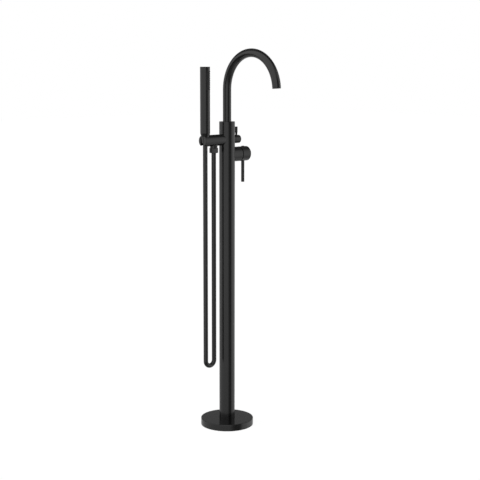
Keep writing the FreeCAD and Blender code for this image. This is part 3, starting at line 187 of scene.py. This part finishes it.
def plain(name, colour, roughness, metallic=0.0, scale=400, depth=0.1 * MM):
    """A simple finish with a little variation in its colour and roughness and a fine grain."""
    material, tree = new_material(name)
    clouds = noise(tree, scale / CLOUD_SIZE, detail=4)
    grain = noise(tree, scale, detail=3)
    darker = [level * (1 - CLOUD_SHADE) for level in colour]
    shaded = mix_colours(tree, clouds, (*colour, 1), (*darker, 1))
    ends = (roughness * (1 - ROUGHNESS_SPREAD), roughness * (1 + ROUGHNESS_SPREAD))
    uneven = carry_over(tree, grain, new=ends)
    coat(tree, shaded, uneven, Metallic=metallic, Normal=bump(tree, grain, 0.3, depth))
    return material


def index_colours():
    """Hot and cold index: a dark red and a dark blue half, so deep that the plug reads as black."""
    material, tree = new_material("index_colours")
    place = add_node(tree, "TexCoord").outputs["Object"]
    along_y = add_node(tree, "SeparateXYZ", {"Vector": place}).outputs["Y"]
    cold_half = calculate(tree, "GREATER_THAN", along_y, 0.0)
    colour = mix_colours(tree, cold_half, (0.02, 0.006, 0.006, 1), (0.006, 0.009, 0.022, 1))
    coat(tree, colour, 0.3)
    return material


MATERIALS = {  # by the record's material slots
    "black_finish": satin_black(),
    "hose_sheath": hose_sheath(),
    "plate_steel": plain("plate_steel", (0.55, 0.55, 0.56), 0.38, metallic=1.0),
    "fastener_steel": plain("fastener_steel", (0.6, 0.6, 0.62), 0.3, metallic=1.0),
    "brass": plain("cast_brass", (0.72, 0.55, 0.27), 0.35, metallic=1.0),
    "copper_pipe": plain("copper_pipe", (0.78, 0.42, 0.28), 0.25, metallic=1.0),
    "pale_plastic": plain("pale_plastic", (0.72, 0.72, 0.69), 0.45),
    "dark_plastic": plain("dark_plastic", (0.02, 0.02, 0.022), 0.45),
    "seal_rubber": plain("seal_rubber", (0.015, 0.015, 0.015), 0.6),
    "spray_rubber": plain("spray_rubber", (0.009, 0.009, 0.0095), 0.5, scale=900, depth=0.03 * MM),
    "index_plastic": index_colours(),
}


def paint(thing, slot):
    """Gives an object one material in all its slots."""
    material = MATERIALS[slot]
    if not thing.material_slots:
        thing.data.materials.append(material)
    for place in thing.material_slots:
        place.material = material


def paint_nodes():
    """Each CAD node gets the finish that the record names."""
    for entry in frame["record"]["subparts"]:
        paint(NODES[entry["node"]], entry["material_slot"])


# ---------------------------------------------------------------- hose

# The route is written out: x and z of each point, with y at 0, from the outlet to the hand shower.
HOSE_ROUTE = [
    (-0.0532, 0.8589),
    (-0.0532, 0.2234),
    (-0.0532, 0.2097),
    (-0.0629, 0.2000),
    (-0.0766, 0.2000),
    (-0.0863, 0.2097),
    (-0.0863, 0.2234),
    (-0.0863, 0.8955),
]
HOSE_RADIUS = 7.0 * MM
HOSE_SIDES = 40
HOSE_STEPS = 40  # points that the spline gives between two of the route's
SPIRAL_PITCH = 5.0 * MM


def spline_points(route, steps):
    """Points along a smooth NURBS spline through a route."""
    data = bpy.data.curves.new("route", "CURVE")
    data.dimensions = "3D"
    spline = data.splines.new("NURBS")
    spline.points.add(len(route) - 1)
    for point, place in zip(spline.points, route):
        point.co = (*place, 1)
    spline.order_u = 3
    spline.use_endpoint_u = True
    spline.resolution_u = steps
    guide = bpy.data.objects.new("route", data)
    bpy.context.scene.collection.objects.link(guide)
    bpy.context.view_layer.update()
    line = bpy.data.meshes.new_from_object(guide)
    points = [vertex.co.copy() for vertex in line.vertices]
    bpy.data.objects.remove(guide)
    bpy.data.meshes.remove(line)
    return points


def tube_mesh(name, points, radius, sides):
    """A closed round tube along points in the XZ plane. Its UVs count turns round it and pitches along it."""
    shape = bmesh.new()
    layer = shape.loops.layers.uv.new("along")
    across = Vector((0, 1, 0))
    rings = []
    pitches = [0.0]
    for i, point in enumerate(points):
        before, after = points[max(i - 1, 0)], points[min(i + 1, len(points) - 1)]
        along = (after - before).normalized()
        aside = along.cross(across).normalized()
        ring = []
        for k in range(sides):
            angle = math.tau * k / sides
            offset = (aside * math.cos(angle) + across * math.sin(angle)) * radius
            ring.append(shape.verts.new(point + offset))
        rings.append(ring)
        pitches.append(pitches[-1] + (after - point).length / SPIRAL_PITCH)
    for i, (low, high) in enumerate(zip(rings, rings[1:])):
        for k in range(sides):
            beside = (k + 1) % sides
            face = shape.faces.new((low[k], low[beside], high[beside], high[k]))
            face.smooth = True
            corners = [(k, i), (k + 1, i), (k + 1, i + 1), (k, i + 1)]
            for loop, (side, level) in zip(face.loops, corners):
                loop[layer].uv = (side / sides, pitches[level])
    for end in (reversed(rings[0]), rings[-1]):
        for edge in shape.faces.new(end).edges:
            edge.smooth = False
    bmesh.ops.recalc_face_normals(shape, faces=shape.faces)
    mesh = bpy.data.meshes.new(name)
    shape.to_mesh(mesh)
    shape.free()
    thing = bpy.data.objects.new(name, mesh)
    bpy.context.scene.collection.objects.link(thing)
    return thing


def follow_ends(hose):
    """Bakes the hose's placement into its mesh.
    """
    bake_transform(hose)


def make_hose():
    """The shower hose along its spline."""
    line = spline_points([Vector((x, 0, z)) for x, z in HOSE_ROUTE], HOSE_STEPS)
    hose = tube_mesh("hose", line, HOSE_RADIUS, HOSE_SIDES)
    paint(hose, "hose_sheath")
    follow_ends(hose)
    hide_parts("shower_hose")
    sum((b - a).length for a, b in zip(line, line[1:]))


# ---------------------------------------------------------------- floor

FLOOR_SIZE = 30
FLOOR_GREY = 0.9  # the floor as the object's light meets it
SEEN_GLOW = 0.96  # the floor as the camera sees it: white by its own glow,
SEEN_GREY = 0.08  # and a faint surface that takes the object's shadow


def make_floor():
    """White floor with a faint shadow. Reflections see the studio in its place."""
    material, tree = new_material("floor_white")
    path = add_node(tree, "LightPath").outputs
    lit = add_node(tree, "BsdfDiffuse", {"Color": grey(FLOOR_GREY)})
    faint = add_node(tree, "BsdfDiffuse", {"Color": grey(SEEN_GREY)})
    glow = add_node(tree, "Emission", {"Color": grey(1.0), "Strength": SEEN_GLOW})
    shown = add_node(tree, "AddShader", {0: faint.outputs[0], 1: glow.outputs[0]})
    seen = mix_shaders(tree, path["Is Camera Ray"], lit, shown)
    mirrored = calculate(tree, "MAXIMUM", path["Is Glossy Ray"], path["Is Transmission Ray"])
    show_surface(tree, mix_shaders(tree, mirrored, seen, add_node(tree, "BsdfTransparent")))
    bpy.ops.mesh.primitive_plane_add(size=FLOOR_SIZE)
    floor = bpy.context.object
    floor.name = "floor"
    floor.data.materials.append(material)
    floor.visible_shadow = False


# ---------------------------------------------------------------- studio

# A place in the studio round the object is given by two angles in degrees: its turn, which is how far it lies
# to the right of the camera's side, and its height above the horizon. Each side lists heights with levels.
WALL = [(-90, 0.7), (-50, 0.25), (-30, 0.2), (-12, 1.0), (0, 1.05), (14, 1.2), (80, 1.15)]
STRIP = [(-70, 0.8), (-40, 0.55), (-12, 1.1), (5, 1.1), (30, 0.9), (50, 0.1)]
GAP = [(-70, 0.8), (-35, 0.05), (-10, 0.2), (20, 0.0), (40, 0.65), (65, 1.1)]
BACK = [(-70, 0.8), (-20, 0.6), (0, 0.6), (18, 0.22), (35, 0.1), (60, 0.1)]
REST = [(-70, 0.8), (-35, 0.5), (-8, 0.7), (5, 0.6), (18, 0.15), (50, 0.15)]
SECTORS = [  # side, where it starts and ends, and how soft its two edges are; a later side covers an earlier
    (GAP, (0, 90, 30, 30)),
    (WALL, (-108, 22, 12, 26)),
    (STRIP, (67, 122, 14, 42)),
]
BACK_FROM, BACK_SOFT = 164, 27  # the back starts this far round, on either hand


def levels_of(tree, height, side):
    """One side's level at each height, from its list."""
    lowest, highest = -90, 90
    ramp = add_node(tree, "ValToRGB", {"Fac": carry_over(tree, height, old=(lowest, highest))})
    stops = ramp.color_ramp.elements
    while len(stops) < len(side):
        stops.new(1.0)
    for stop, (angle, level) in zip(stops, side):
        stop.position = (angle - lowest) / (highest - lowest)
        stop.color = grey(level)
    return ramp.outputs["Color"]


def past(tree, turn, edge, softness):
    """0 before a turn and 1 past it, or the other way round where the softness is below 0."""
    return carry_over(tree, turn, old=(edge - softness / 2, edge + softness / 2), smooth=True)


def sector(tree, turn, start, end, start_soft, end_soft):
    """1 between two turns and 0 outside them, with soft edges."""
    return calculate(tree, "MULTIPLY", past(tree, turn, start, start_soft), past(tree, turn, end, -end_soft))


def in_degrees(tree, function, *values):
    """A trigonometric function's result in degrees."""
    return calculate(tree, "DEGREES", calculate(tree, function, *values))


def make_world():
    """A plain studio: a long white wall, a dark gap, a strip of light and a dimmer rest and back.

    The camera sees plain white in its place.
    """
    world = bpy.data.worlds.new("studio")
    world.use_nodes = True
    bpy.context.scene.world = world
    tree = world.node_tree
    tree.nodes.clear()
    direction = add_node(tree, "TexCoord").outputs["Generated"]
    forth, right = (
        add_node(tree, "VectorMath", {0: direction, 1: way}, operation="DOT_PRODUCT").outputs["Value"]
        for way in (TOWARDS_CAMERA, TOWARDS_CAMERA.cross((0, 0, -1)))
    )
    up = add_node(tree, "SeparateXYZ", {"Vector": direction}).outputs["Z"]
    turn = in_degrees(tree, "ARCTAN2", right, forth)
    height = in_degrees(tree, "ARCSINE", up)
    behind = past(tree, calculate(tree, "ABSOLUTE", turn), BACK_FROM, BACK_SOFT)
    sides = [(BACK, behind)] + [(side, sector(tree, turn, *edges)) for side, edges in SECTORS]
    level = levels_of(tree, height, REST)
    for side, share in sides:
        level = mix_colours(tree, share, level, levels_of(tree, height, side))
    studio = add_node(tree, "Background", {"Color": level, "Strength": 1.0})
    white = add_node(tree, "Background", {"Color": grey(1.0), "Strength": 1.0})
    seen = add_node(tree, "LightPath").outputs["Is Camera Ray"]
    show_surface(tree, mix_shaders(tree, seen, studio, white), kind="World")


# ---------------------------------------------------------------- the scene

make_camera()
make_hose()
paint_nodes()
make_floor()
make_world()
bpy.context.scene.view_settings.view_transform = "Standard"
